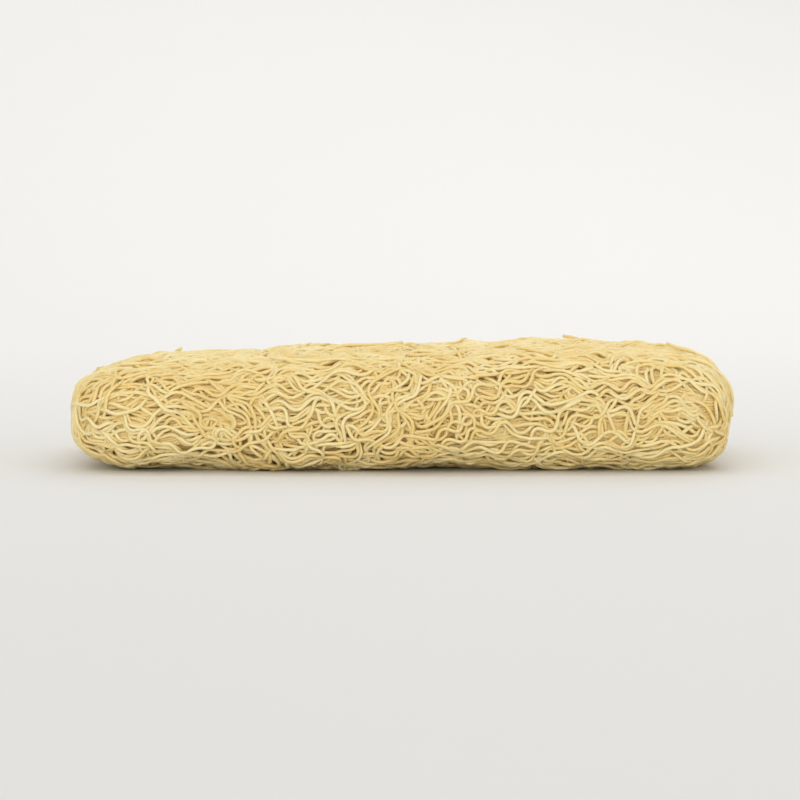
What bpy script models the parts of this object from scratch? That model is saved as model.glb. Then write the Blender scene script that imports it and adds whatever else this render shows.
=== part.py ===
"""Block of dried rice vermicelli, lying flat: one matted cake of fine, wavy rice strands.

The block is a long pillow with rounded ends. Its strands run lengthwise in waves, turn over the two ends
and mat together. The solid is a slightly smaller core with the strands that stand out most fused on to it,
at their true size. +X is the long axis, +Z is up, and the origin is under the middle of the block, on the
surface that it lies on. Blender units are metres.
"""

import math
import random

import bmesh
import bpy
from mathutils import Vector

MM = 0.001

# Driving dimensions
LENGTH = 155 * MM
WIDTH = 98 * MM
THICKNESS = 28 * MM
STRAND_DIAMETER = 1.0 * MM

# How full the block is: a high power keeps its section full almost to the edge, a low one rounds it early
BLUNT_END_POWER = 13.0
TAPERED_END_POWER = 8.0
SIDE_POWER = 5.2
FACE_POWER = 2.9

# The faces rise and fall in broad swells and slanting ripples, as shares of the height
SWELL = 0.045
SWELL_ALONG, SWELL_ACROSS = 53 * MM, 81 * MM
RIPPLE = 0.03
RIPPLE_WAVE = 31 * MM
RIPPLE_SLANT = 0.8

# The block is this share thicker at its blunt end than at its middle, and thinner at its tapered end
WEDGE = 0.07

# The outline wanders by a share of its width, and the whole block bends a little
WANDER = 0.028
WANDER_WAVE = 89 * MM
SHORT_WANDER = 0.014
SHORT_WANDER_WAVE = 37 * MM
BEND = 0.7 * MM
SIDE_BEND = 0.42 * MM
BEND_WAVE = 170 * MM

# The underside dried flat on its tray
UNDERSIDE_FLAT = 1.3 * MM

# The core, a little smaller than the whole, with the locks of strands as wavy ridges round it
CORE_INSET = 1.0 * MM
LOCKS = 14
LOCK_RELIEF = 0.8 * MM
LOCK_SWAY = 1.3 * MM
LOCK_WAVE = 31 * MM
LOCK_PHASE_STEP = 0.35
LOOP_CORNERS = 54
OUTLINE_STEPS = 400

# The strands that stand out
STRANDS = 15
STRAND_SIDES = 3
STRAND_STEPS = 44
STEP = 2.5 * MM
STRAND_INSET = 0.55 * MM
WAVE_LENGTH = (15 * MM, 27 * MM)
WAVE_SWING = (math.radians(34), math.radians(74))
DRIFT_ANGLE = math.radians(24)
DRIFT_WAVE = 67 * MM
CROSSING_SHARE = 0.2
CROSSING_ANGLE = (math.radians(40), math.radians(75))
STRAND_FLOOR = 0.4 * MM
START_PLACES = 60
CANDIDATES = 14
SCORE_STRIDE = 3
SEED = 7

# The finish
STRAW_COLOUR = (0.69, 0.53, 0.25)
ROUGHNESS = 0.55

HALF = Vector((LENGTH, WIDTH, THICKNESS)) / 2
ACROSS = Vector((0, 1, 0))
ALONG = Vector((1, 0, 0))
TURN = 2 * math.pi
UNDERSIDE_LIMIT = -0.6


def fullness(point, inset):
    """1 on the smooth block's surface at this inset, less inside it and more outside it."""
    u, v, w = (abs(c) / (h - inset) for c, h in zip(point, HALF))
    end_power = BLUNT_END_POWER if point.x > 0 else TAPERED_END_POWER
    return u**end_power + v**SIDE_POWER + w**FACE_POWER


def slope(point, inset):
    """The gradient of fullness, which points straight out of the surface."""
    end_power = BLUNT_END_POWER if point.x > 0 else TAPERED_END_POWER
    powers = (end_power, SIDE_POWER, FACE_POWER)
    return Vector(
        power / (h - inset) * (abs(c) / (h - inset)) ** (power - 1) * math.copysign(1, c)
        for c, h, power in zip(point, HALF, powers)
    )


def pulled_to_surface(point, inset):
    """The point moved straight in or out until it lies on the smooth surface at this inset."""
    for _ in range(4):
        out = slope(point, inset)
        point = point - out * ((fullness(point, inset) - 1) / max(out.length_squared, 1e-9))
    return point


def wave(place, wave_length, phase):
    return math.sin(TURN * place / wave_length + phase)


def settled(point):
    """The point moved from the smooth block to the uneven real one, which stands on z = 0."""
    x, y, z = point
    swell = SWELL * wave(x, SWELL_ALONG, 0.7) * wave(y, SWELL_ACROSS, 2.0)
    swell += RIPPLE * wave(x + RIPPLE_SLANT * y, RIPPLE_WAVE, 2.1) + WEDGE * x / HALF.x
    wander = WANDER * wave(x, WANDER_WAVE, 1.3) + SHORT_WANDER * wave(x, SHORT_WANDER_WAVE, 0)
    bend = wave(x, BEND_WAVE, 0.5)
    lowest = UNDERSIDE_FLAT - HALF.z
    height = max(z * (1 + swell) + BEND * bend, lowest) - lowest
    return Vector((x, y * (1 + wander) + SIDE_BEND * bend, height))


def material(name, colour, roughness):
    made = bpy.data.materials.new(name)
    made.use_nodes = True
    shader = made.node_tree.nodes["Principled BSDF"]
    shader.inputs["Base Color"].default_value = (*colour, 1)
    shader.inputs["Roughness"].default_value = roughness
    shader.inputs["Metallic"].default_value = 0
    return made


def clear_scene():
    for old in list(bpy.data.objects):
        bpy.data.objects.remove(old)


def evenly_spaced(outline, count):
    """Points spaced evenly along a fine polyline, and how far along it each one lies."""
    runs = [0.0]
    for a, b in zip(outline, outline[1:]):
        runs.append(runs[-1] + (b - a).length)
    spaced, k = [], 0
    for i in range(count):
        run = runs[-1] * i / (count - 1)
        while k < len(runs) - 2 and runs[k + 1] < run:
            k += 1
        share = (run - runs[k]) / max(runs[k + 1] - runs[k], 1e-12)
        spaced.append((outline[k].lerp(outline[k + 1], share), run))
    return spaced


def power_curve(turn, half_a, half_b, power_a, power_b):
    """A point on the rounded box |a|^power_a + |b|^power_b = 1, by the angle of a ray from its middle."""
    ray = Vector((math.cos(turn) * half_a, math.sin(turn) * half_b))
    low, high = 0.0, 2.0
    for _ in range(30):
        reach = (low + high) / 2
        if abs(ray.x * reach / half_a) ** power_a + abs(ray.y * reach / half_b) ** power_b < 1:
            low = reach
        else:
            high = reach
    return ray * low


def loop_places(inset):
    """How far out each loop lies across the block, evenly spaced over its faces and sides."""
    count = 2 * LOCKS + 1
    half_y, half_z = HALF.y - inset, HALF.z - inset
    fine = [
        power_curve(math.pi * (1 - k / OUTLINE_STEPS), half_y, half_z, SIDE_POWER, FACE_POWER)
        for k in range(OUTLINE_STEPS + 1)
    ]
    return [point.x for point, _ in evenly_spaced(fine, count)][1:-1]


def loop_round(y, inset):
    """Points spaced evenly round the block's length and over its ends, at this place across it."""
    left = 1 - (abs(y) / (HALF.y - inset)) ** SIDE_POWER
    half_z = (HALF.z - inset) * left ** (1 / FACE_POWER)
    fine = []
    for k in range(OUTLINE_STEPS + 1):
        turn = TURN * k / OUTLINE_STEPS
        end_power = BLUNT_END_POWER if math.cos(turn) > 0 else TAPERED_END_POWER
        half_x = (HALF.x - inset) * left ** (1 / end_power)
        fine.append(power_curve(turn, half_x, half_z, end_power, FACE_POWER))
    return [(Vector((p.x, y, p.y)), run) for p, run in evenly_spaced(fine, LOOP_CORNERS + 1)[:-1]]


def close_side(built, loop, side):
    """Closes a narrow side with one more ridge, along its middle."""
    half = LOOP_CORNERS // 2
    crest = [loop[0]]
    for i in range(1, half):
        end = Vector((HALF.x * math.cos(math.pi * i / half), side * HALF.y, 0))
        point = pulled_to_surface(end, CORE_INSET - LOCK_RELIEF / 2)
        crest.append(built.verts.new(settled(point)))
    crest.append(loop[half])
    for i in range(half):
        for near, far in ((i, i + 1), (-i, -i - 1)):
            facing = (crest[i], crest[i + 1], loop[far], loop[near % LOOP_CORNERS])
            built.faces.new(list(dict.fromkeys(facing)))


def core_mesh():
    """The core: loops side by side across the block, in turn a ridge and a valley, that sway together."""
    built = bmesh.new()
    loops = []
    for j, y in enumerate(loop_places(CORE_INSET)):
        ridge = LOCK_RELIEF / 2 if j % 2 else -LOCK_RELIEF / 2
        loop = []
        for point, run in loop_round(y, CORE_INSET):
            out = slope(point, CORE_INSET).normalized()
            sideways = out.cross(lengthwise(out, ALONG))
            sway = sideways * (LOCK_SWAY * wave(run, LOCK_WAVE, LOCK_PHASE_STEP * j))
            point = pulled_to_surface(point + sway, CORE_INSET) + out * ridge
            loop.append(built.verts.new(settled(point)))
        loops.append(loop)
    for loop, following in zip(loops, loops[1:]):
        for i in range(LOOP_CORNERS):
            i_next = (i + 1) % LOOP_CORNERS
            built.faces.new((loop[i], loop[i_next], following[i_next], following[i]))
    for loop, side in ((loops[0], -1), (loops[-1], 1)):
        close_side(built, loop, side)
    bmesh.ops.triangulate(built, faces=built.faces[:])
    bmesh.ops.recalc_face_normals(built, faces=built.faces[:])
    return built


def lengthwise(out, heading):
    """The direction along the surface that strands follow: along the block, and over its two ends."""
    over_end = ACROSS.cross(out)
    along = ALONG - out * ALONG.dot(out)
    total = Vector()
    for direction in (over_end, along):
        total += direction if direction.dot(heading) > 0 else -direction
    return total.normalized()


def drawn_start(draw):
    """A place on the surface, clear of the flat underside, where a strand may start."""
    while True:
        y = draw.choice(loop_places(STRAND_INSET))
        start = draw.choice(loop_round(y, STRAND_INSET))[0]
        if slope(start, STRAND_INSET).normalized().z > UNDERSIDE_LIMIT:
            return start


def roomiest_route(draw, starts, placed):
    """Of several strands drawn at random, the one that runs where the strands placed so far leave most room."""

    def room(route):
        points = [point for point, out in route[::SCORE_STRIDE] if out.z > UNDERSIDE_LIMIT]
        near = [min((point - other).length for other in placed) for point in points]
        return sum(near) / len(route[::SCORE_STRIDE])

    routes = [strand_route(draw, start) for start in starts]
    best = max(routes, key=room) if placed else routes[0]
    placed.extend(point for point, _ in best[::SCORE_STRIDE])
    return best


def strand_route(draw, start):
    """Points and outward directions of one strand, which swings from side to side as it goes."""
    point = start
    heading = ALONG if draw.random() < 0.5 else -ALONG
    across = draw.random() < CROSSING_SHARE
    aside = draw.choice((-1, 1)) * draw.uniform(*CROSSING_ANGLE) if across else 0
    wave_length = draw.uniform(*WAVE_LENGTH)
    swing = draw.uniform(*WAVE_SWING)
    phase, drift_phase = draw.uniform(0, TURN), draw.uniform(0, TURN)
    route = []
    for step in range(STRAND_STEPS + 1):
        out = slope(point, STRAND_INSET).normalized()
        route.append((settled(point), out))
        run = step * STEP
        drift = DRIFT_ANGLE * wave(run, DRIFT_WAVE, drift_phase)
        angle = aside + drift + swing * wave(run, wave_length, phase)
        heading = lengthwise(out, heading)
        side = out.cross(heading)
        point = point + (heading * math.cos(angle) + side * math.sin(angle)) * STEP
        point = pulled_to_surface(point, STRAND_INSET)
    return route


def strand_object(name, route, collection):
    """One strand as a closed tube of few sides, with an edge facing out."""
    radius = STRAND_DIAMETER / 2
    built = bmesh.new()
    rings = []
    for i, (point, out) in enumerate(route):
        before, after = route[max(i - 1, 0)][0], route[min(i + 1, len(route) - 1)][0]
        ahead = (after - before).normalized()
        side = ahead.cross(out).normalized()
        up = side.cross(ahead)
        centre = point.copy()
        centre.z = max(centre.z, radius + STRAND_FLOOR)
        ring = []
        for k in range(STRAND_SIDES):
            angle = TURN * k / STRAND_SIDES
            ring.append(built.verts.new(centre + (up * math.cos(angle) + side * math.sin(angle)) * radius))
        rings.append(ring)
    for ring, following in zip(rings, rings[1:]):
        for k in range(STRAND_SIDES):
            k_next = (k + 1) % STRAND_SIDES
            built.faces.new((ring[k], ring[k_next], following[k_next], following[k]))
    built.faces.new(rings[0][::-1])
    built.faces.new(rings[-1])
    bmesh.ops.triangulate(built, faces=built.faces[:])
    bmesh.ops.recalc_face_normals(built, faces=built.faces[:])
    mesh = bpy.data.meshes.new(name)
    built.to_mesh(mesh)
    built.free()
    made = bpy.data.objects.new(name, mesh)
    collection.objects.link(made)
    return made


def islands(built):
    """The separate shells of a mesh, each as a list of faces."""
    left = set(built.faces)
    found = []
    while left:
        shell, queue = [], [left.pop()]
        while queue:
            face = queue.pop()
            shell.append(face)
            for edge in face.edges:
                for other in edge.link_faces:
                    if other in left:
                        left.remove(other)
                        queue.append(other)
        found.append(shell)
    return found


def keep_outer_shell(mesh):
    """Fills the hollows that fusing sealed, and drops loose scraps, by keeping the largest shell only."""
    built = bmesh.new()
    built.from_mesh(mesh)
    bmesh.ops.triangulate(built, faces=built.faces[:])
    shells = sorted(islands(built), key=len)
    for shell in shells[:-1]:
        bmesh.ops.delete(built, geom=shell, context="FACES")
    built.to_mesh(mesh)
    built.free()


def centred(mesh):
    """Puts the middle of the block's box over the origin."""
    for axis in (0, 1):
        places = [vertex.co[axis] for vertex in mesh.vertices]
        middle = (min(places) + max(places)) / 2
        for vertex in mesh.vertices:
            vertex.co[axis] -= middle


def fuse(block, strands):
    """Joins the strands to the core with one Boolean union, applied, and removes their objects."""
    union = block.modifiers.new("fuse_strands", "BOOLEAN")
    union.operation = "UNION"
    union.operand_type = "COLLECTION"
    union.collection = strands
    union.solver = "MANIFOLD"
    bpy.context.view_layer.update()
    graph = bpy.context.evaluated_depsgraph_get()
    fused = bpy.data.meshes.new_from_object(block.evaluated_get(graph))
    block.modifiers.remove(union)
    block.data = fused
    for strand in list(strands.objects):
        bpy.data.objects.remove(strand)
    bpy.data.collections.remove(strands)


def build_block():
    mesh = bpy.data.meshes.new("block")
    built = core_mesh()
    built.to_mesh(mesh)
    built.free()
    block = bpy.data.objects.new("block", mesh)
    bpy.context.scene.collection.objects.link(block)

    strands = bpy.data.collections.new("strands")
    bpy.context.scene.collection.children.link(strands)
    draw = random.Random(SEED)
    starts = [drawn_start(draw) for _ in range(START_PLACES)]
    placed = []
    for i in range(STRANDS):
        tried = draw.sample(starts, CANDIDATES)
        strand_object(f"strand_{i:02d}", roomiest_route(draw, tried, placed), strands)
    fuse(block, strands)
    keep_outer_shell(block.data)
    centred(block.data)
    block.data.materials.clear()
    block.data.materials.append(material("dried_rice", STRAW_COLOUR, ROUGHNESS))
    return block


clear_scene()
build_block()
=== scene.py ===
"""Looks of the block of dried rice vermicelli, laid strand by strand.

Locks of wavy strands are traced over the rounded block, then laid one after another, so that
each strand rests on those laid before it. Every strand is a mesh tube at its true size, and a
core fills the middle beneath them. Blender units are metres, +X is the long axis, and the block
lies on z = 0.
"""

import math

import bmesh
import bpy
import numpy as np
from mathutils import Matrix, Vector


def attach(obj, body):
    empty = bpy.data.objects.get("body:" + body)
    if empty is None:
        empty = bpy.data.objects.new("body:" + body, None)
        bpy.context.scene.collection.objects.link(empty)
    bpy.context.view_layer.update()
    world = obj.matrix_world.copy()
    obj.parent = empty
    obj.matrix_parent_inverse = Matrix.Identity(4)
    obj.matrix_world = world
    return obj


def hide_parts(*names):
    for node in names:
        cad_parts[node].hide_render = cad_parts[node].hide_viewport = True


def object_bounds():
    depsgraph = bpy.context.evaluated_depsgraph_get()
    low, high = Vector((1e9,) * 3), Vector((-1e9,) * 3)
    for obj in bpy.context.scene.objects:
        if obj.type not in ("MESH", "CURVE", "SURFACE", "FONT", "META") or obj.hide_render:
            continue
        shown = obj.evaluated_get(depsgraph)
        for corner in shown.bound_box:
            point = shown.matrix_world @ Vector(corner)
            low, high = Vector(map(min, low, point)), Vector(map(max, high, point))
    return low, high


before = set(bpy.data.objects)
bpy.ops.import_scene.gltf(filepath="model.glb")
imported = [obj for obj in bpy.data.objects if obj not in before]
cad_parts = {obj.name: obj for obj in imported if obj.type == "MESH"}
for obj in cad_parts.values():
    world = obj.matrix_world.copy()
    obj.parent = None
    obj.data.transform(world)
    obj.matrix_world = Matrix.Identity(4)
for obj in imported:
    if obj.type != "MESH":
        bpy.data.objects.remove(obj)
cad_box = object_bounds()

MM = 0.001
TURN = 2 * math.pi
SEED = 11

# Lengths and squared slopes are taken to be at least these, so that nothing is divided by zero, and
# where a ray meets the block is found by halving it so many times
SHORTEST_LENGTH = 1e-12
LEAST_STEEPNESS = 1e-9
HALVINGS = 24

# The smooth block that the strands run over, as in the solid that they replace
HALF = np.array((155.0, 98.0, 28.0)) / 2 * MM
BLUNT_END_POWER = 13.0
TAPERED_END_POWER = 8.0
SIDE_POWER = 5.2
FACE_POWER = 2.9

# The faces rise and fall in broad swells and slanting ripples, as shares of the height
SWELL = 0.045
SWELL_ALONG, SWELL_ACROSS = 53 * MM, 81 * MM
SWELL_PHASES = (0.7, 2.0)
RIPPLE = 0.03
RIPPLE_WAVE = 31 * MM
RIPPLE_SLANT = 0.8
RIPPLE_PHASE = 2.1

# The block is this share thicker at its blunt end than at its middle, and thinner at its tapered end
WEDGE = 0.07

# The outline wanders by a share of its width, and the whole block bends a little
WANDER = 0.028
WANDER_WAVE = 89 * MM
WANDER_PHASE = 1.3
SHORT_WANDER = 0.014
SHORT_WANDER_WAVE = 37 * MM
BEND = 0.7 * MM
SIDE_BEND = 0.42 * MM
BEND_WAVE = 170 * MM
BEND_PHASE = 0.5

# The underside dried flat on its tray, with the lowest part of the block pressed up by this much.
# What is no higher than the second value lies on the tray
UNDERSIDE_FLAT = 1.3 * MM
ON_THE_TRAY = 0.05 * MM

# Strands differ in diameter by a share of it. They are walked in steps, with the middle of the
# topmost ones this far inside the smooth block
DIAMETER = 0.86 * MM
DIAMETER_SPREAD = 0.07
STEP = 0.5 * MM
INSET = DIAMETER / 2 + 0.2 * MM

# The undermost strands lie side by side at one level, give or take a little. They run lengthwise
# round the block, and along the narrow sides, which are where it faces this squarely sideways. They
# are spaced out along a ring round its middle, which is measured with so many points
UNDER_PITCH = 0.88 * MM
UNDER_LEVEL = -1.4 * MM
UNDER_UNEVEN = 0.1 * MM
UNDER_LOOP = 360 * MM
UNDER_SIDE = 0.75
UNDER_SIDE_START = 0.97
UNDER_SIDE_RUN = 162 * MM
RING_POINTS = 4001

# They wave together, but shift a little from strand to strand, over these lengths round the block
UNDER_WAVES = {
    "drift": 0.2,
    "drift_wave": 105 * MM,
    "swing": 0.42,
    "wave": 19 * MM,
    "slip_wave": 61 * MM,
    "slip_phase": 0.4,
}
UNDER_STRAYING = 0.0015
UNDER_DRIFT_SHIFT, UNDER_DRIFT_AROUND = 0.5, 37 * MM
UNDER_SHIFT, UNDER_AROUND, UNDER_AROUND_PHASE = 0.35, 19 * MM, 1.0
UNDER_SHIFT_SPREAD = 0.06
UNDER_RIPPLES = (0.02, 0.07)
UNDER_RIPPLE_WAVES = (7 * MM, 10 * MM)

# All strands lie over small smooth lumps of this height, broad ones and narrow ones. Each kind is
# two slanting waves, one times the other
LUMPS = 0.4 * MM
BROAD_SHARE = 0.55
BROAD_LUMPS = (17 * MM, 23 * MM)
BROAD_SLANTS = (0.7, 0.4)
BROAD_PHASES = (0, 1.0)
NARROW_LUMPS = (11 * MM, 16 * MM)
NARROW_SLANTS = (1.7, 0.5)
NARROW_PHASES = (2.0, 0.5)

# A lock is several strands that wave together. Long broad locks are laid first, then short narrow
# ones, and single strands fill what is left. Each goes over the deepest hollow of the many places
# that are tried, until the strands have taken that share of the triangles
STRAND_PITCH = 0.98 * MM
LONG_LOCKS = {"count": 520, "strands": 5, "lengths": (70 * MM, 170 * MM), "tried": 24, "share": 0.68}
SHORT_LOCKS = {"count": 3600, "strands": 2, "lengths": (22 * MM, 50 * MM), "tried": 110, "share": 0.93}
FILLING_STRANDS = {"count": 5000, "strands": 1, "lengths": (9 * MM, 18 * MM), "tried": 400, "share": 1.0}
TRIED_POINTS_APART = 4

# How a lock runs: how far it strays from lengthwise, in radians, how many cross the others and
# how steeply, and the least and most of its slow drift, its waves, their ripples and the slip
# that makes the waves uneven
STRAYING = math.radians(9)
CROSSING_SHARE = 0.22
CROSSING_ANGLES = (0.6, 1.35)
LOCK_WAVES = {
    "drift": (0.15, 0.55),
    "drift_wave": (45 * MM, 95 * MM),
    "drift_phase": (0, TURN),
    "swing": (0.35, 0.9),
    "wave": (9 * MM, 18 * MM),
    "phase": (0, TURN),
    "ripple": (0.05, 0.3),
    "ripple_wave": (5.5 * MM, 9.5 * MM),
    "ripple_phase": (0, TURN),
    "slip_wave": (26 * MM, 60 * MM),
    "slip_phase": (0, TURN),
}
SLIP = 0.9

# The strands of a lock start a little before and behind each other, and differ by this little
STAGGER = 0.4 * MM
STRAND_STRAYING = 0.03
STRAND_SWINGS = (0.92, 1.08)
STRAND_WAVES = (0.985, 1.015)
STRAND_PHASE_SPREAD = 0.15
STRAND_RIPPLE_SPREAD = 0.5

# Strands wave more on the narrow sides, and less beyond this share of the half length
SIDE_FRIZZ = 0.3
END_CALM = 0.32
END_STARTS = 0.55

# The underside takes fewer locks, as if it lay this much higher when the lowest place is sought
UNDERSIDE_RAISED = 0.25 * MM

# Where strands lie is kept in small cells, with a margin round the block. A place for the next one
# is sought in steps, from the depth of the bed up to the highest level, and it clears the middle of
# those before it by this much
BED_DEPTH = 2.2 * MM
CELL = 0.4 * MM
LEVEL_STEP = 0.2 * MM
HIGHEST_LEVEL = 0.6 * MM
BED_MARGIN = 4 * MM
CLEARANCE = 0.76 * DIAMETER

# A springy strand rounds over a hump with this radius, and takes note of humps within so many
# steps
SPRING_RADIUS = 2.6 * MM
SPRING_REACH = 7
SMOOTHING_REACH = 3

# At this share of its humps a strand slips under instead, and its two ends dip out of sight
TUCK_SHARE = 0.35
TUCK_DEPTH = 1.5 * DIAMETER
TUCK_REACH = 6
END_REACH = 7 * MM
END_DEPTH = 2.2 * MM

# A strand ends where others would lift it higher than this, unless the crowded stretch is short:
# there it goes deep, under the others
HIGHEST = 0.3 * MM
SHORTEST_RUN = 8 * MM
LONGEST_CROWDED = 7 * MM
CROWDED_DEPTH = 1.1 * MM

# A few strands end loose, and curl away from the block by this much over their last stretch. They
# may lie higher than the others, and none starts where the block faces the tray
LOOSE_ENDS = 40
LOOSE_LENGTHS = (12 * MM, 24 * MM)
LOOSE_LIFTS = (0.25 * MM, 1.15 * MM)
LOOSE_REACH = 8 * MM
LOOSE_CURL = 2.2
LOOSE_HIGHEST = 2 * HIGHEST
LOOSE_LOWEST_FACING = -0.3

# Rings along a strand come closer where it bends, and the undermost strands have fewer sides. Locks
# are laid until the strands have this many triangles, which are shared out among pieces
LONGEST_SEGMENT = 2.4 * MM
SHARPEST_TURN = math.radians(24)
MOST_TRIANGLES = 940_000
TRIANGLES_IN_PIECE = 190_000
UNDER_SIDES = 4
SIDES = 5

# The core's surface is this far below the top strands, just under the undermost ones
CORE_DEPTH = 1.85 * MM
CORE_SUBDIVISIONS = 6

# Finish: pale, golden and shadowed colours, all linear, and how many patches, grains or lines there are
# to a metre. The shadowed colour is painted shade, mixed in where strands lie deep. Noise within its
# limits is stretched over the tones and roughnesses given here
STRAND_TONES_AND_SHADE = ((0.925, 0.785, 0.42, 1), (0.855, 0.648, 0.255, 1), (0.862, 0.642, 0.258, 1))
# The core's colours are darker than the strands': painted shade for the gaps where it shows, with its
# shadowed colour as painted shade in the grooves between its lines
CORE_TONES_AND_SHADE = ((0.8, 0.6, 0.27, 1), (0.72, 0.53, 0.21, 1), (0.6, 0.43, 0.15, 1))
DUST_COLOUR = (0.93, 0.88, 0.72, 1)
PATCH_SCALE = 75
PATCH_NOISE = (0.35, 0.66)
PATCH_TONES = (-0.42, 0.42)
GRAIN_SCALE = 1400
GRAIN_HEIGHT = 0.06 * MM
GRAIN_STRENGTH = 0.25
ROUGH_NOISE, ROUGHNESSES = (0.3, 0.7), (0.4, 0.58)
DUST_NOISE = (0.5, 0.75)
STRAND_DUSTING, CORE_DUSTING = 0.25, 0.1
STARCH_IOR = 1.5
STARCH_GLOSS = 0.4
SUBSURFACE_WEIGHT = 0.22
SUBSURFACE_RADIUS = (1.0, 0.85, 0.6)
SUBSURFACE_SCALE = 0.7 * MM
INNER_WANDER_SCALE = 110
INNER_WANDER = 5 * MM
INNER_STRETCH = (0.15, 1.0, 1.0)
INNER_LINE_SCALE = 300
INNER_LINES = (0.1, 0.8)
INNER_RELIEF = 0.5 * MM

# The studio
FLOOR_FRONT, FLOOR_BACK, FLOOR_WIDE = 6.0, 0.8, 5.0
FLOOR_BEND, FLOOR_HIGH = 1.0, 2.5
FLOOR_BEND_STEPS = 24
FLOOR_COLOUR = (0.8, 0.8, 0.79)
FLOOR_ROUGHNESS = 0.7
MIDDLE = (0, 0, 14 * MM)
SKY_COLOUR = (1.0, 0.985, 0.96)
SKY_STRENGTH = 0.66

# Each lamp's place, what it points at, its width and height, its watts and its colour
LAMPS = {
    "key": ((-0.9, -2.0, 1.05), MIDDLE, (2.0, 1.5), 11.6, (1.0, 0.97, 0.92)),
    "front": ((0.0, -2.4, 0.4), MIDDLE, (2.2, 0.62), 7.7, (1.0, 0.98, 0.95)),
    "fill": ((1.5, -1.6, 0.55), MIDDLE, (1.5, 1.2), 4.4, (1.0, 0.98, 0.95)),
    "back": ((0.35, 0.95, 0.8), MIDDLE, (0.9, 0.5), 1.6, (1.0, 0.99, 0.97)),
    "top": ((0.0, 0.25, 2.2), MIDDLE, (2.2, 1.7), 2.0, (1.0, 0.99, 0.97)),
    "backdrop_light": ((0.0, 0.4, 1.6), (0.0, 1.7, 0.5), (2.0, 0.5), 9.0, (1.0, 1.0, 1.0)),
}

# The camera has a long lens, just above level, and the block takes up this share of its width
CAMERA_LENS = 135.0
SENSOR_WIDTH = 36.0
CAMERA_ELEVATION = 3.5
FILLED_SHARE = 0.8


def unit(vectors):
    """The vectors at length 1."""
    return vectors / np.maximum(np.linalg.norm(vectors, axis=-1, keepdims=True), SHORTEST_LENGTH)


def wave(place, wave_length, phase):
    """A sine wave of this length, from -1 to 1."""
    return np.sin(TURN * place / wave_length + phase)


def fullness_and_slope(points):
    """Fullness is 1 where the topmost strands run on the smooth block. Its slope points straight out."""
    half = HALF - INSET
    powers = np.empty_like(points)
    powers[..., 0] = np.where(points[..., 0] > 0, BLUNT_END_POWER, TAPERED_END_POWER)
    powers[..., 1] = SIDE_POWER
    powers[..., 2] = FACE_POWER
    share = np.abs(points) / half
    raised = share ** (powers - 1)
    return (raised * share).sum(-1, keepdims=True), powers / half * raised * np.sign(points)


def outward_at(points):
    """The direction straight out of the smooth block at these points."""
    return unit(fullness_and_slope(points)[1])


def pulled_to_surface(points, passes):
    """The points moved straight in or out until they lie where the topmost strands run."""
    for _ in range(passes):
        fullness, slope = fullness_and_slope(points)
        steepness = np.maximum((slope * slope).sum(-1, keepdims=True), LEAST_STEEPNESS)
        points = points - slope * ((fullness - 1) / steepness)
    return points


def settled(points):
    """The points moved from the smooth block to the uneven real one, which stands on z = 0."""
    x, y, z = points[..., 0], points[..., 1], points[..., 2]
    swell = SWELL * wave(x, SWELL_ALONG, SWELL_PHASES[0]) * wave(y, SWELL_ACROSS, SWELL_PHASES[1])
    swell += RIPPLE * wave(x + RIPPLE_SLANT * y, RIPPLE_WAVE, RIPPLE_PHASE) + WEDGE * x / HALF[0]
    wander = WANDER * wave(x, WANDER_WAVE, WANDER_PHASE)
    wander = wander + SHORT_WANDER * wave(x, SHORT_WANDER_WAVE, 0)
    bend = wave(x, BEND_WAVE, BEND_PHASE)
    lowest = UNDERSIDE_FLAT - HALF[2]
    height = np.maximum(z * (1 + swell) + BEND * bend, lowest) - lowest
    return np.stack((x, y * (1 + wander) + SIDE_BEND * bend, height), axis=-1)


def unevenness(points):
    """Small smooth lumps and dips all over the block, from -1 to 1."""
    x, y, z = points[..., 0], points[..., 1], points[..., 2]
    broad = wave(x + BROAD_SLANTS[0] * y, BROAD_LUMPS[0], BROAD_PHASES[0])
    broad = broad * wave(y - BROAD_SLANTS[1] * x + z, BROAD_LUMPS[1], BROAD_PHASES[1])
    narrow = wave(x - y + NARROW_SLANTS[0] * z, NARROW_LUMPS[0], NARROW_PHASES[0])
    narrow = narrow * wave(z + NARROW_SLANTS[1] * x, NARROW_LUMPS[1], NARROW_PHASES[1])
    return BROAD_SHARE * broad + (1 - BROAD_SHARE) * narrow


def settled_routes(route, outward):
    """The routes on the uneven block. Outward is straight down where they lie on the tray."""
    route = settled(route)
    on_tray = route[..., 2] < ON_THE_TRAY
    outward = np.where(on_tray[..., None], (0.0, 0.0, -1.0), outward)
    lump = np.where(on_tray, 0, LUMPS * unevenness(route))
    return route + outward * lump[..., None], outward


def lengthwise(outward, heading):
    """The direction along the surface that strands follow: along the block, and over its two ends."""
    over_end = np.stack((outward[..., 2], np.zeros(outward.shape[:-1]), -outward[..., 0]), axis=-1)
    over_end *= (1 - np.abs(outward[..., 1:2])) ** 2
    along = -outward * outward[..., :1]
    along[..., 0] += 1
    total = np.zeros_like(outward)
    for direction in (over_end, along):
        agrees = (direction * heading).sum(-1, keepdims=True)
        total += np.where(agrees > 0, direction, -direction)
    return unit(total)


def frizz(points, outward):
    """How strongly strands wave here: most at the middle of the narrow sides, least at the ends."""
    end = np.clip((np.abs(points[:, 0]) / HALF[0] - END_STARTS) / (1 - END_STARTS), 0, 1)
    side = outward[:, 1] ** 2
    return (1 + SIDE_FRIZZ * side) * (1 - END_CALM * end)


def lock_style(draw, count):
    """How each lock runs and waves, drawn at random."""
    crossing = draw.random(count) < CROSSING_SHARE
    aside = draw.normal(0, STRAYING, count)
    aside += crossing * draw.choice((-1, 1), count) * draw.uniform(*CROSSING_ANGLES, count)
    waves = {name: draw.uniform(*limits, count) for name, limits in LOCK_WAVES.items()}
    return {"aside": aside, **waves}


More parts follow.
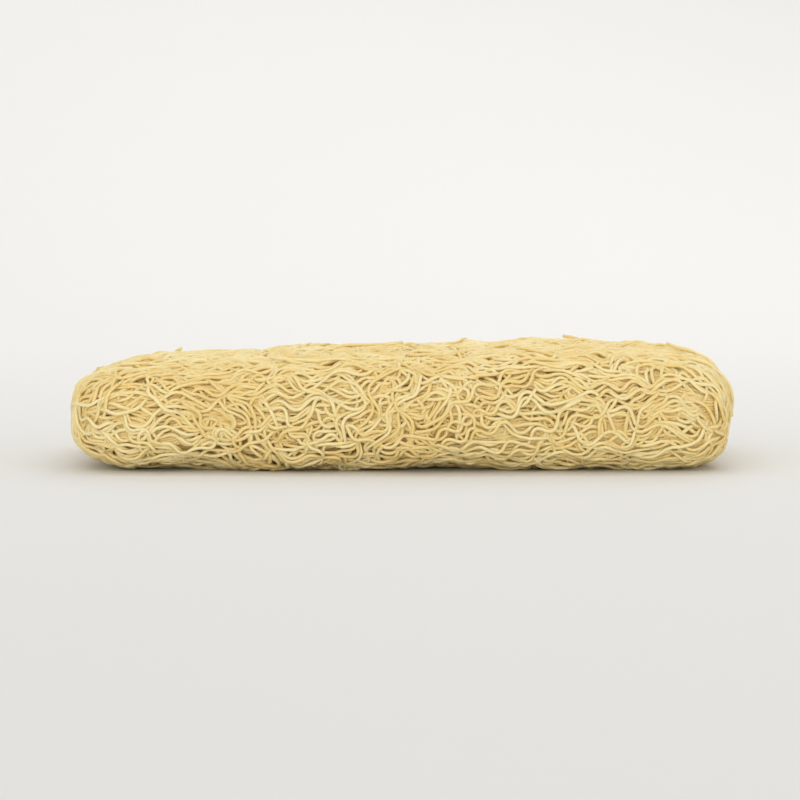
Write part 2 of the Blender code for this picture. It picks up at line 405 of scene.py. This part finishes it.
def strand_style(draw, style, strands_in_lock):
    """Each strand of a lock waves like its neighbours, but not quite."""
    strands = {name: np.repeat(values, strands_in_lock) for name, values in style.items()}
    count = len(strands["aside"])
    strands["aside"] += draw.normal(0, STRAND_STRAYING, count)
    strands["swing"] *= draw.uniform(*STRAND_SWINGS, count)
    strands["wave"] *= draw.uniform(*STRAND_WAVES, count)
    strands["phase"] += draw.normal(0, STRAND_PHASE_SPREAD, count)
    strands["ripple_phase"] += draw.normal(0, STRAND_RIPPLE_SPREAD, count)
    return strands


def traced(starts, headings, style, steps):
    """Walks all strands over the smooth block at once. Gives their points and outward directions."""
    points = starts
    route = np.empty((len(starts), steps, 3))
    outwards = np.empty_like(route)
    for step in range(steps):
        outward = outward_at(points)
        route[:, step], outwards[:, step] = points, outward
        run = step * STEP
        slip = SLIP * wave(run, style["slip_wave"], style["slip_phase"])
        angle = style["swing"] * wave(run, style["wave"], style["phase"] + slip)
        angle += style["ripple"] * wave(run, style["ripple_wave"], style["ripple_phase"])
        angle *= frizz(points, outward)
        angle += style["aside"] + style["drift"] * wave(run, style["drift_wave"], style["drift_phase"])
        headings = lengthwise(outward, headings)
        sideways = np.cross(outward, headings)
        angle = angle[:, None]
        points = points + (headings * np.cos(angle) + sideways * np.sin(angle)) * STEP
        points = pulled_to_surface(points, passes=2)
    return route, outwards


def along_rays(rays):
    """Where rays from the middle of the block to the box around it meet its smooth surface."""
    low, high = np.zeros((len(rays), 1)), np.ones((len(rays), 1))
    for _ in range(HALVINGS):
        reach = (low + high) / 2
        inside = fullness_and_slope(rays * reach)[0] < 1
        low, high = np.where(inside, reach, low), np.where(inside, high, reach)
    return rays * low


def spread_over_surface(draw, count):
    """Random places on the smooth block, spread by the area of its faces, sides and ends."""
    areas = HALF.prod() / HALF
    axis = draw.choice(3, count, p=areas / areas.sum())
    spread = draw.uniform(-1, 1, (count, 3))
    spread[np.arange(count), axis] = draw.choice((-1.0, 1.0), count)
    return along_rays(spread * HALF)


def lock_starts(draw, count, strands_in_lock):
    """Where the strands of each lock start, side by side, and which way they head."""
    centres = spread_over_surface(draw, count)
    outward = outward_at(centres)
    forward = np.where(draw.random((count, 1)) < 0.5, 1.0, -1.0) * np.array((1.0, 0.0, 0.0))
    headings = lengthwise(outward, forward)
    sideways = np.cross(outward, headings)
    places = np.arange(strands_in_lock) - (strands_in_lock - 1) / 2
    starts = centres[:, None] + sideways[:, None] * (places * STRAND_PITCH)[:, None]
    starts += headings[:, None] * draw.normal(0, STAGGER, (count, strands_in_lock, 1))
    starts = pulled_to_surface(starts.reshape(-1, 3), passes=6)
    return starts, np.repeat(headings, strands_in_lock, axis=0)


def under_starts():
    """Where the undermost strands start: under the middle, and at one end of each narrow side."""
    turn = np.linspace(0, TURN, RING_POINTS)
    ring = np.stack((np.zeros(len(turn)), np.cos(turn), np.sin(turn)), axis=-1) * HALF
    ring = pulled_to_surface(ring, passes=40)
    run = np.concatenate(((0,), np.cumsum(np.linalg.norm(np.diff(ring, axis=0), axis=1))))
    places = np.arange(0, run[-1], UNDER_PITCH)
    points = np.stack([np.interp(places, run, ring[:, axis]) for axis in range(3)], axis=-1)
    outward = outward_at(points)
    on_side = np.abs(outward[:, 1]) > UNDER_SIDE
    below = ~on_side & (outward[:, 2] < 0)
    at_end = points[on_side] - (UNDER_SIDE_START * HALF[0], 0, 0)
    return points[below], pulled_to_surface(at_end, passes=12)


def under_style(draw, starts):
    """The undermost strands wave together, closer here and further apart there."""
    count = len(starts)
    around = starts[:, 1] + starts[:, 2]
    style = {name: np.full(count, value) for name, value in UNDER_WAVES.items()}
    style["aside"] = draw.normal(0, UNDER_STRAYING, count)
    style["drift_phase"] = UNDER_DRIFT_SHIFT * wave(around, UNDER_DRIFT_AROUND, 0)
    style["phase"] = UNDER_SHIFT * wave(around, UNDER_AROUND, UNDER_AROUND_PHASE)
    style["phase"] = style["phase"] + draw.normal(0, UNDER_SHIFT_SPREAD, count)
    style["ripple"] = draw.uniform(*UNDER_RIPPLES, count)
    style["ripple_wave"] = draw.uniform(*UNDER_RIPPLE_WAVES, count)
    style["ripple_phase"] = draw.uniform(0, TURN, count)
    return style


def lay_under(draw, bed):
    """The undermost strands, laid side by side round the block lengthwise and along its narrow sides."""
    laid = []
    for starts, reach in zip(under_starts(), (UNDER_LOOP, UNDER_SIDE_RUN)):
        headings = np.tile((1.0, 0.0, 0.0), (len(starts), 1))
        route, outward = traced(starts, headings, under_style(draw, starts), round(reach / STEP))
        route, outward = settled_routes(route, outward)
        for points, out in zip(route, outward):
            line = np.full(len(points), UNDER_LEVEL + draw.uniform(-UNDER_UNEVEN, UNDER_UNEVEN))
            centres = points + out * line[:, None]
            bed.lay(centres)
            laid.append(rings_along(draw, centres, out, line, UNDER_SIDES))
    return laid


class Bed:
    """Where strands already lie, as small cells, so that the next strand can be laid over them."""

    def __init__(self):
        wide = HALF[1] * (1 + WANDER + SHORT_WANDER)
        self.low = np.array((-HALF[0], -wide, 0)) - BED_MARGIN
        high = np.array((HALF[0], wide, 2 * HALF[2])) + BED_MARGIN
        self.shape = np.ceil((high - self.low) / CELL).astype(int)
        self.taken = np.zeros(self.shape.prod(), bool)
        self.levels = np.arange(-BED_DEPTH, HIGHEST_LEVEL, LEVEL_STEP)
        reach = math.ceil(CLEARANCE / CELL)
        axis = np.arange(-reach, reach + 1) * CELL
        ball = np.stack(np.meshgrid(axis, axis, axis), axis=-1).reshape(-1, 3)
        self.footprint = ball[np.linalg.norm(ball, axis=1) <= CLEARANCE]

    def cells(self, places):
        """The number of the cell that each of these places is in."""
        index = ((places - self.low) / CELL).astype(np.int32)
        index = np.clip(index, 0, self.shape - 1)
        return (index[..., 0] * self.shape[1] + index[..., 1]) * self.shape[2] + index[..., 2]

    def clear_heights(self, points, outward):
        """How far out each point has to move to clear the strands that lie there."""
        samples = points[..., None, :] + outward[..., None, :] * self.levels[:, None]
        taken = self.taken[self.cells(samples)]
        top = len(self.levels) - 1 - np.argmax(taken[..., ::-1], axis=-1)
        return np.where(taken.any(-1), self.levels[top] + LEVEL_STEP, -BED_DEPTH)

    def lay(self, points):
        """Marks the cells around these points as taken."""
        self.taken[self.cells(points[:, None] + self.footprint)] = True


def draped(heights):
    """The line a springy strand takes over these heights: it bridges hollows and rounds over humps."""
    count = heights.shape[-1]
    padded = np.pad(heights, SPRING_REACH, mode="edge")
    line = heights.copy()
    for k in range(-SPRING_REACH, SPRING_REACH + 1):
        fall = (k * STEP) ** 2 / (2 * SPRING_RADIUS)
        line = np.maximum(line, padded[SPRING_REACH + k : SPRING_REACH + k + count] - fall)
    return smoothed(line)


def smoothed(line):
    """The line with each height averaged with its neighbours."""
    weights = np.hanning(2 * SMOOTHING_REACH + 3)[1:-1]
    padded = np.pad(line, SMOOTHING_REACH, mode="edge")
    return np.convolve(padded, weights / weights.sum(), mode="valid")


def tucks(draw, heights):
    """Where a strand slips under one that it would cross over, as how far it goes down."""
    peaks = np.flatnonzero((heights[1:-1] > heights[:-2]) & (heights[1:-1] >= heights[2:])) + 1
    chosen = peaks[draw.random(len(peaks)) < TUCK_SHARE]
    down = np.zeros_like(heights)
    bump = TUCK_DEPTH * np.hanning(2 * TUCK_REACH + 1)
    for peak in chosen:
        first, last = max(peak - TUCK_REACH, 0), min(peak + TUCK_REACH + 1, len(heights))
        part = bump[first - peak + TUCK_REACH : last - peak + TUCK_REACH]
        down[first:last] = np.maximum(down[first:last], part)
    return down


def dipped_ends(count):
    """How far the two ends of a strand dip into the block, where they are out of sight."""
    run = np.arange(count) * STEP
    near_end = np.clip(1 - np.minimum(run, run[-1] - run) / END_REACH, 0, 1)
    return END_DEPTH * near_end**2


def runs_of(flags):
    """The stretches in which a flag is set, as first places and the places after the last."""
    edges = np.flatnonzero(np.diff(np.concatenate(((False,), flags, (False,)))))
    return list(zip(edges[::2], edges[1::2]))


def roomy_runs(line):
    """The stretches of a strand that have room, joined where what lies between is short."""
    roomy = line <= HIGHEST
    for first, last in runs_of(~roomy):
        if (last - first) * STEP <= LONGEST_CROWDED and 0 < first and last < len(line):
            roomy[first:last] = True
    return [(first, last) for first, last in runs_of(roomy) if (last - first) * STEP >= SHORTEST_RUN]


def lay_strand(draw, bed, points, outward):
    """Lays one strand over the bed, and under it where it is full. Gives each laid stretch."""
    line = draped(bed.clear_heights(points, outward))
    laid = []
    for first, last in roomy_runs(line):
        part = line[first:last]
        part = np.where(part > HIGHEST, HIGHEST - CROWDED_DEPTH, part - tucks(draw, part))
        stretch = smoothed(smoothed(part)) - dipped_ends(last - first)
        out = outward[first:last]
        centres = points[first:last] + out * stretch[:, None]
        centres[:, 2] = np.maximum(centres[:, 2], DIAMETER / 2)
        bed.lay(centres)
        laid.append((centres, out, stretch))
    return laid


def lock_routes(draw, plan):
    """Where every strand of these locks would run: points and outward directions, lock by lock."""
    steps = round(plan["lengths"][1] / STEP)
    style = strand_style(draw, lock_style(draw, plan["count"]), plan["strands"])
    starts, headings = lock_starts(draw, plan["count"], plan["strands"])
    route, outward = settled_routes(*traced(starts, headings, style, steps))
    shape = (plan["count"], plan["strands"], steps, 3)
    return route.reshape(shape), outward.reshape(shape)


def lay_locks(draw, bed, plan, laid, triangles):
    """Lays locks one after another where the bed is lowest, up to their share of the triangles."""
    route, outward = lock_routes(draw, plan)
    lengths = draw.uniform(*plan["lengths"], plan["count"])
    left = list(range(plan["count"]))
    apart = slice(None, None, TRIED_POINTS_APART)
    while len(left) > plan["tried"] and triangles < plan["share"] * MOST_TRIANGLES:
        tried = draw.choice(len(left), plan["tried"], replace=False)
        locks = np.array(left)[tried]
        heights = bed.clear_heights(route[locks, :, apart], outward[locks, :, apart]).mean(axis=(1, 2))
        facing_down = -outward[locks, :, apart, 2].mean(axis=(1, 2))
        heights += UNDERSIDE_RAISED * np.maximum(facing_down, 0)
        lock = left.pop(tried[int(np.argmin(heights))])
        count = round(lengths[lock] / STEP)
        for strand in draw.permutation(plan["strands"]):
            points, out = route[lock, strand, :count], outward[lock, strand, :count]
            for stretch in lay_strand(draw, bed, points, out):
                made = rings_along(draw, *stretch, SIDES)
                triangles += tube_triangles(made[0])
                laid.append(made)
    return triangles


def lay_loose_ends(draw, bed):
    """Short strands laid last, whose last few millimetres curl away from the block."""
    plan = {"count": LOOSE_ENDS, "strands": 1, "lengths": LOOSE_LENGTHS}
    route, outward = lock_routes(draw, plan)
    low, high = (np.array(corner) for corner in cad_box)
    laid = []
    for points, out in zip(route[:, 0], outward[:, 0]):
        count = round(draw.uniform(*LOOSE_LENGTHS) / STEP)
        points, out = points[:count], out[:count]
        if out[:, 2].min() < LOOSE_LOWEST_FACING:
            continue
        run = np.arange(count) * STEP
        curl = np.clip(1 - (run[-1] - run) / LOOSE_REACH, 0, 1) ** LOOSE_CURL
        lift = draw.uniform(*LOOSE_LIFTS) * curl
        dip = END_DEPTH * np.clip(1 - run / END_REACH, 0, 1) ** 2
        line = np.minimum(draped(bed.clear_heights(points, out)), LOOSE_HIGHEST)
        line = smoothed(line) + lift - dip
        centres = np.clip(points + out * line[:, None], low, high)
        laid.append(rings_along(draw, centres, out, line, SIDES))
    return laid


def laid_strands(draw):
    """Every strand of the block, in the order in which they are laid."""
    bed = Bed()
    laid = lay_under(draw, bed)
    triangles = sum(tube_triangles(rings) for rings, _, _ in laid)
    for plan in (LONG_LOCKS, SHORT_LOCKS, FILLING_STRANDS):
        triangles = lay_locks(draw, bed, plan, laid, triangles)
    return laid + lay_loose_ends(draw, bed)


def ring_places(centres):
    """Where along a strand its rings go: closer together where it bends."""
    ahead = np.diff(centres, axis=0)
    lengths = np.linalg.norm(ahead, axis=1)
    ahead = unit(ahead)
    turns = np.arccos(np.clip((ahead[1:] * ahead[:-1]).sum(1), -1, 1))
    turns = np.concatenate(((0,), turns, (0,)))
    cost = np.maximum(lengths / LONGEST_SEGMENT, (turns[1:] + turns[:-1]) / 2 / SHARPEST_TURN)
    total = np.concatenate(((0,), np.cumsum(cost)))
    rings = max(math.ceil(total[-1]), 2)
    return np.interp(np.linspace(0, total[-1], rings + 1), total, np.arange(len(centres)))


def at_places(values, places):
    """The values at these places along a strand, which may lie between two points."""
    low = np.minimum(places.astype(int), len(values) - 2)
    share = (places - low)[:, None]
    return values[low] * (1 - share) + values[low + 1] * share


def tube(centres, outward, radius, sides):
    """The rings of a round tube along these points, as an array of ring, corner and axis."""
    ahead = unit(np.gradient(centres, axis=0))
    side = unit(np.cross(ahead, outward))
    up = np.cross(side, ahead)
    turns = TURN * np.arange(sides) / sides
    around = up[:, None] * np.cos(turns)[:, None] + side[:, None] * np.sin(turns)[:, None]
    return centres[:, None] + around * radius


def rings_along(draw, centres, outward, line, sides):
    """One laid stretch as its rings, its tone and how deep each ring lies."""
    places = ring_places(centres)
    radius = DIAMETER / 2 * (1 + draw.uniform(-1, 1) * DIAMETER_SPREAD)
    rings = tube(at_places(centres, places), at_places(outward, places), radius, sides)
    # How deep each ring lies, by which the material mixes in its painted shade
    depth = np.clip(-at_places(line[:, None], places)[:, 0] / BED_DEPTH, 0, 1)
    return rings, draw.random(), depth


def tube_triangles(rings):
    """How many triangles the tube through these rings has, with its two ends."""
    count, sides = rings.shape[:2]
    return 2 * sides * (count - 1) + 2 * (sides - 2)


def rice_piece(name, mesh, material):
    """Puts the mesh into the scene as a piece that stands in for the block's solid."""
    mesh.materials.append(material)
    piece = bpy.data.objects.new(name, mesh)
    bpy.context.scene.collection.objects.link(piece)
    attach(piece, "root")
    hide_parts("block")


def strand_piece(name, strands, material, sides):
    """One mesh of many strands. Each strand is its rings, its tone and how deep it lies."""
    vertices, quads, caps, tones, depths = [], [], [], [], []
    first = 0
    for rings, tone, depth in strands:
        count = len(rings)
        vertices.append(rings.reshape(-1, 3))
        corner = np.arange(sides)
        ring = first + np.arange(count - 1)[:, None] * sides
        a, b = ring + corner, ring + (corner + 1) % sides
        quads.append(np.stack((a, a + sides, b + sides, b), axis=-1).reshape(-1, 4))
        caps.append(np.stack((first + corner, first + (count - 1) * sides + corner[::-1])))
        tones.append(np.full(count * sides, tone))
        depths.append(np.repeat(depth, sides))
        first += count * sides
    quads, caps = np.concatenate(quads), np.concatenate(caps)
    mesh = bpy.data.meshes.new(name)
    mesh.vertices.add(first)
    mesh.vertices.foreach_set("co", np.concatenate(vertices).astype(np.float32).ravel())
    corners = np.concatenate((quads.ravel(), caps.ravel()))
    mesh.loops.add(len(corners))
    mesh.loops.foreach_set("vertex_index", corners.astype(np.int32))
    sizes = np.concatenate((np.full(len(quads), 4), np.full(len(caps), sides)))
    mesh.polygons.add(len(sizes))
    mesh.polygons.foreach_set("loop_start", (np.cumsum(sizes) - sizes).astype(np.int32))
    mesh.polygons.foreach_set("use_smooth", np.repeat((True, False), (len(quads), len(caps))))
    # The deep attribute brings in the shadowed colour, painted shade on strands that lie deep
    for attribute, values in (("tone", tones), ("deep", depths)):
        made = mesh.attributes.new(attribute, "FLOAT", "POINT")
        made.data.foreach_set("value", np.concatenate(values).astype(np.float32))
    mesh.update(calc_edges=True)
    mesh.validate()
    rice_piece(name, mesh, material)


def strand_pieces(laid, material):
    """Shares the strands out among pieces of few enough triangles, in the order they were laid."""
    pieces = 0
    for sides in (UNDER_SIDES, SIDES):
        batch, triangles = [], 0
        for strand in laid:
            if strand[0].shape[1] != sides:
                continue
            if triangles + tube_triangles(strand[0]) > TRIANGLES_IN_PIECE:
                pieces += 1
                strand_piece(f"strands_{pieces}", batch, material, sides)
                batch, triangles = [], 0
            batch.append(strand)
            triangles += tube_triangles(strand[0])
        pieces += 1
        strand_piece(f"strands_{pieces}", batch, material, sides)


def inner_core(material):
    """The closed block that fills the middle, with its surface just under the undermost strands."""
    built = bmesh.new()
    bmesh.ops.create_icosphere(built, subdivisions=CORE_SUBDIVISIONS, radius=1)
    around = np.array([vertex.co for vertex in built.verts])
    points = along_rays(around / np.abs(around).max(axis=1, keepdims=True) * HALF)
    places, outward = settled_routes(points, outward_at(points))
    for vertex, place in zip(built.verts, places - outward * CORE_DEPTH):
        vertex.co = place
    mesh = bpy.data.meshes.new("inner_core")
    built.to_mesh(mesh)
    built.free()
    mesh.shade_smooth()
    rice_piece("inner_core", mesh, material)


class Nodes:
    """Adds nodes to one node tree and links them in a line or two."""

    def __init__(self, tree):
        self.tree = tree

    def add(self, kind, inputs=None, **settings):
        """Adds a node. Each of its inputs is given a value, or the socket that feeds it."""
        node = self.tree.nodes.new(kind)
        for name, value in settings.items():
            setattr(node, name, value)
        for socket, value in (inputs or {}).items():
            if isinstance(value, bpy.types.NodeSocket):
                self.tree.links.new(value, node.inputs[socket])
            else:
                node.inputs[socket].default_value = value
        return node

    def link(self, source, target):
        """Feeds one socket from another."""
        self.tree.links.new(source, target)

    def vector(self, operation, first, second):
        """Two vectors added, subtracted or multiplied."""
        return self.add("ShaderNodeVectorMath", {0: first, 1: second}, operation=operation).outputs[0]

    def noise(self, vector, scale, detail=3.0, roughness=0.55):
        """Soft noise, mostly near a half."""
        inputs = {"Vector": vector, "Scale": scale, "Detail": detail, "Roughness": roughness}
        return self.add("ShaderNodeTexNoise", inputs).outputs["Fac"]

    def spread(self, value, given, wanted=(0.0, 1.0)):
        """The value within the given limits, stretched to run between the wanted ones and held there."""
        limits = {"From Min": given[0], "From Max": given[1], "To Min": wanted[0], "To Max": wanted[1]}
        return self.add("ShaderNodeMapRange", {"Value": value, **limits}).outputs["Result"]

    def math(self, operation, first, second):
        """Two numbers added, subtracted or multiplied."""
        return self.add("ShaderNodeMath", {0: first, 1: second}, operation=operation).outputs["Value"]

    def mix(self, factor, first, second):
        """A colour between two others. A Mix node has its factor at 0 and its colours at 6 and 7."""
        inputs = {0: factor, 6: first, 7: second}
        return self.add("ShaderNodeMix", inputs, data_type="RGBA").outputs[2]


def dried_starch_group():
    """Straw-coloured rice starch: uneven in tone, with the shadowed colour mixed in as painted shade
    where deep, and a paler dusting.
    """
    group = bpy.data.node_groups.new("dried_starch", "ShaderNodeTree")
    for name, kind, default in (
        ("Pale", "NodeSocketColor", (1, 1, 1, 1)),
        ("Golden", "NodeSocketColor", (1, 1, 1, 1)),
        ("Shadowed", "NodeSocketColor", (1, 1, 1, 1)),
        ("Tone", "NodeSocketFloat", 0.5),
        ("Depth", "NodeSocketFloat", 0.0),
        ("Dusting", "NodeSocketFloat", 0.2),
    ):
        group.interface.new_socket(name, in_out="INPUT", socket_type=kind).default_value = default
    for name, kind in (("Colour", "Color"), ("Roughness", "Float"), ("Height", "Float")):
        group.interface.new_socket(name, in_out="OUTPUT", socket_type=f"NodeSocket{kind}")
    nodes = Nodes(group)
    given = nodes.add("NodeGroupInput").outputs
    place = nodes.add("ShaderNodeTexCoord").outputs["Object"]
    patches = nodes.noise(place, PATCH_SCALE)
    grain = nodes.noise(place, GRAIN_SCALE, detail=2.0)
    tone = nodes.math("ADD", given["Tone"], nodes.spread(patches, PATCH_NOISE, PATCH_TONES))
    colour = nodes.mix(tone, given["Pale"], given["Golden"])
    # Painted shade: the colour turns to the shadowed one where the strand or groove lies deep
    colour = nodes.mix(given["Depth"], colour, given["Shadowed"])
    dusted = nodes.math("MULTIPLY", nodes.spread(grain, DUST_NOISE), given["Dusting"])
    colour = nodes.mix(dusted, colour, DUST_COLOUR)
    rough = nodes.spread(grain, ROUGH_NOISE, ROUGHNESSES)
    nodes.add("NodeGroupOutput", {"Colour": colour, "Roughness": rough, "Height": grain})
    return group


def starch_material(name, group, colours, dusting):
    """A material of dried starch with these colours, and its nodes, its starch group and its shader."""
    material = bpy.data.materials.new(name)
    material.use_nodes = True
    nodes = Nodes(material.node_tree)
    starch = nodes.add("ShaderNodeGroup", node_tree=group)
    for socket, colour in zip(("Pale", "Golden", "Shadowed"), colours):
        starch.inputs[socket].default_value = colour
    starch.inputs["Dusting"].default_value = dusting
    shader = material.node_tree.nodes["Principled BSDF"]
    nodes.link(starch.outputs["Colour"], shader.inputs["Base Color"])
    nodes.link(starch.outputs["Roughness"], shader.inputs["Roughness"])
    shader.inputs["IOR"].default_value = STARCH_IOR
    shader.inputs["Specular IOR Level"].default_value = STARCH_GLOSS
    return material, nodes, starch, shader


def strand_material(group):
    """Rice strands, which let a little light through. Each strand has its own tone and depth."""
    made = starch_material("rice_strand", group, STRAND_TONES_AND_SHADE, STRAND_DUSTING)
    material, nodes, starch, shader = made
    # The depth mixes in the shadowed colour, painted shade on strands that lie deep
    for socket, attribute in (("Tone", "tone"), ("Depth", "deep")):
        read = nodes.add("ShaderNodeAttribute", attribute_name=attribute)
        nodes.link(read.outputs["Fac"], starch.inputs[socket])
    height = {"Height": starch.outputs["Height"], "Strength": GRAIN_STRENGTH, "Distance": GRAIN_HEIGHT}
    nodes.link(nodes.add("ShaderNodeBump", height).outputs["Normal"], shader.inputs["Normal"])
    shader.inputs["Subsurface Weight"].default_value = SUBSURFACE_WEIGHT
    shader.inputs["Subsurface Radius"].default_value = SUBSURFACE_RADIUS
    shader.inputs["Subsurface Scale"].default_value = SUBSURFACE_SCALE
    return material


def inner_material(group):
    """The core, lined with the strands that lie deeper, side by side and wandering, with painted shade
    in the grooves between them.
    """
    made = starch_material("inner_rice", group, CORE_TONES_AND_SHADE, CORE_DUSTING)
    material, nodes, starch, shader = made
    place = nodes.add("ShaderNodeTexCoord").outputs["Object"]
    wander = nodes.add("ShaderNodeTexNoise", {"Vector": place, "Scale": INNER_WANDER_SCALE})
    shift = nodes.vector("SUBTRACT", wander.outputs["Color"], (0.5, 0.5, 0.5))
    shift = nodes.vector("MULTIPLY", shift, (INNER_WANDER,) * 3)
    along = nodes.vector("ADD", nodes.vector("MULTIPLY", place, INNER_STRETCH), shift)
    drawn = {"Vector": along, "Scale": INNER_LINE_SCALE}
    lines = nodes.add("ShaderNodeTexWave", drawn, bands_direction="DIAGONAL")
    ridges = nodes.spread(lines.outputs["Fac"], INNER_LINES)
    # Painted shade: the grooves between the lines take the shadowed colour
    nodes.link(nodes.math("SUBTRACT", 1.0, ridges), starch.inputs["Depth"])
    height = {"Height": ridges, "Distance": INNER_RELIEF}
    nodes.link(nodes.add("ShaderNodeBump", height).outputs["Normal"], shader.inputs["Normal"])
    return material


def studio_floor():
    """A plain pale floor with a gently curved back."""
    mesh = bpy.data.meshes.new("floor")
    profile = [(-FLOOR_FRONT, 0.0), (FLOOR_BACK, 0.0)]
    for k in range(1, FLOOR_BEND_STEPS + 1):
        turn = math.pi / 2 * k / FLOOR_BEND_STEPS
        profile.append((FLOOR_BACK + FLOOR_BEND * math.sin(turn), FLOOR_BEND * (1 - math.cos(turn))))
    profile.append((FLOOR_BACK + FLOOR_BEND, FLOOR_HIGH))
    vertices = [(x, y, z) for y, z in profile for x in (-FLOOR_WIDE, FLOOR_WIDE)]
    faces = [(2 * k, 2 * k + 1, 2 * k + 3, 2 * k + 2) for k in range(len(profile) - 1)]
    mesh.from_pydata(vertices, [], faces)
    mesh.shade_smooth()
    material = bpy.data.materials.new("pale_floor")
    material.use_nodes = True
    shader = material.node_tree.nodes["Principled BSDF"]
    shader.inputs["Base Color"].default_value = (*FLOOR_COLOUR, 1)
    shader.inputs["Roughness"].default_value = FLOOR_ROUGHNESS
    mesh.materials.append(material)
    floor = bpy.data.objects.new("floor", mesh)
    bpy.context.scene.collection.objects.link(floor)


def soft_light(name, place, target, size, power, colour):
    """A broad lamp that lights the set, and isn't seen itself."""
    light = bpy.data.lights.new(name, "AREA")
    light.shape = "RECTANGLE"
    light.size, light.size_y = size
    light.energy = power
    light.color = colour
    lamp = bpy.data.objects.new(name, light)
    lamp.location = place
    lamp.rotation_euler = (Vector(target) - Vector(place)).to_track_quat("-Z", "Y").to_euler()
    lamp.visible_camera = False
    bpy.context.scene.collection.objects.link(lamp)


def lighting():
    """A pale sky and soft lamps all round."""
    world = bpy.data.worlds.new("studio")
    world.use_nodes = True
    background = world.node_tree.nodes["Background"]
    background.inputs["Color"].default_value = (*SKY_COLOUR, 1)
    background.inputs["Strength"].default_value = SKY_STRENGTH
    bpy.context.scene.world = world
    for name, lamp in LAMPS.items():
        soft_light(name, *lamp)
    view = bpy.context.scene.view_settings
    view.view_transform = "Standard"
    view.look = "None"


def camera():
    """Looks at a narrow side from just above the edge, as the photograph shows the block."""
    lens = bpy.data.cameras.new("camera")
    lens.lens = CAMERA_LENS
    lens.sensor_width = SENSOR_WIDTH
    eye = bpy.data.objects.new("camera", lens)
    target = Vector(MIDDLE)
    rise = math.radians(CAMERA_ELEVATION)
    width = HALF[0] * 2 / FILLED_SHARE
    distance = width * CAMERA_LENS / SENSOR_WIDTH
    eye.location = target + Vector((0, -math.cos(rise), math.sin(rise))) * distance
    eye.rotation_euler = (target - eye.location).to_track_quat("-Z", "Y").to_euler()
    bpy.context.scene.collection.objects.link(eye)
    bpy.context.scene.camera = eye


def build():
    """The block, its floor, its light and the camera."""
    draw = np.random.default_rng(SEED)
    starch = dried_starch_group()
    inner_core(inner_material(starch))
    strand_pieces(laid_strands(draw), strand_material(starch))
    studio_floor()
    lighting()
    camera()


build()
